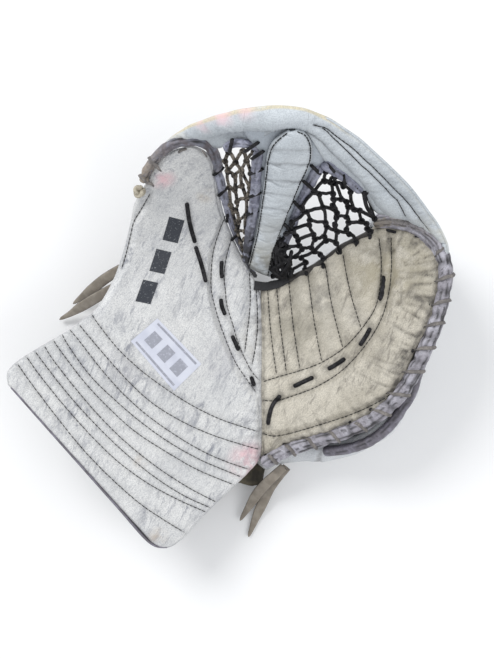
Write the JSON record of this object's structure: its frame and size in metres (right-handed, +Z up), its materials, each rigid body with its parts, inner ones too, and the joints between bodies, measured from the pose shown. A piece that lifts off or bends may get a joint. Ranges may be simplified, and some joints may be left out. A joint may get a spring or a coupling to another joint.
{
  "type": "goalie catch glove",
  "caption": "Worn ice hockey goaltender's catch glove lying open, with a leather pocket, laced T web, padded rim, stiff cuff and a break that folds the thumb side over.",
  "frame": {"origin": "on the flat underside of the back-of-hand pad, straight below the break", "axes": "+X towards the fingers, +Y from the heel to the top of the T web, +Z up out of the pocket"},
  "size_m": [0.3823, 0.3685, 0.2197],
  "materials": {
    "white_leather": "scuffed white synthetic leather",
    "palm_leather": "creased off-white leather, worn grey",
    "web_leather": "bluish white synthetic leather",
    "grey_roll": "worn grey rolled leather",
    "blue_roll": "lavender grey rolled leather",
    "black_roll": "black rolled leather",
    "dark_cord": "waxed black skate lace",
    "worn_cord": "frayed grey skate lace",
    "rawhide": "grey-brown rawhide lace",
    "dark_fabric": "dark nylon and brushed lining",
    "foam": "felt and closed-cell foam board",
    "black_plastic": "moulded black plastic",
    "label": "blank woven patch"
  },
  "bodies": {
    "palm": {"palm_facing": "palm_leather", "palm_padding": "foam", "palm_lining": "dark_fabric", "palm_edge_roll": "grey_roll", "shell_edge_roll": "grey_roll", "finger_shell": "white_leather", "index_gusset": "white_leather", "back_hand_pad": "white_leather", "wrist_pad": "dark_fabric", "edge_lace": "rawhide", "palm_lace": "dark_cord", "palm_net_roll": "black_roll", "pocket_strap": "dark_fabric", "hand_strap": "dark_fabric", "finger_separator_1": "dark_fabric", "finger_separator_2": "dark_fabric", "finger_separator_3": "dark_fabric", "rim_finger_side": "web_leather", "wing_net_roll": "blue_roll", "net_finger_side": "dark_cord", "heel_tail_upper": "rawhide", "heel_tail_lower": "rawhide"},
    "web": {"tee_panel": "web_leather", "spine_pad": "web_leather", "tee_back_panel": "white_leather", "tee_roll_thumb_side": "blue_roll", "tee_roll_top": "blue_roll", "tee_roll_finger_side": "blue_roll", "rim_centre": "web_leather"},
    "thumb": {"thumb_cuff_facing": "white_leather", "thumb_cuff_board": "foam", "thumb_cuff_lining": "dark_fabric", "cuff_end_binding": "grey_roll", "thumb_tip_roll": "grey_roll", "thumb_net_roll": "blue_roll", "thumb_tip_lace": "rawhide", "thumb_tip_knot": "rawhide", "thumb_lace_upper": "dark_cord", "thumb_lace_lower": "dark_cord", "thumb_seam_lace": "dark_cord", "thumb_sleeve": "dark_fabric", "rim_thumb_side": "web_leather", "net_thumb_side": "worn_cord", "thumb_tail_upper": "rawhide", "thumb_tail_lower": "rawhide", "blank_label": "label", "wrist_strap": "dark_fabric", "wrist_ring": "black_plastic"},
    "wrist_tab": {"wrist_strap_tab": "dark_fabric"}
  },
  "joints": [
    {"name": "web_fold", "type": "hinge", "parent": "palm", "child": "web", "pos_m": [0, 0.1, 0.056], "axis": [0, 1, 0], "range_deg": [0, 15], "deforming": ["rim_finger_side", "net_finger_side"]},
    {"name": "thumb_fold", "type": "hinge", "parent": "web", "child": "thumb", "pos_m": [0, 0, 0.056], "axis": [0, 1, 0], "range_deg": [0, 15], "deforming": ["rim_thumb_side", "net_thumb_side"]},
    {"name": "wrist_tab_peel", "type": "hinge", "parent": "thumb", "child": "wrist_tab", "pos_m": [-0.1144, -0.0156, 0.06], "axis": [0.7071, 0.7071, 0], "range_deg": [0, 80]}
  ],
  "couplings": [
    {"joint": "web_fold", "follows": "thumb_fold", "ratio": 1}
  ]
}
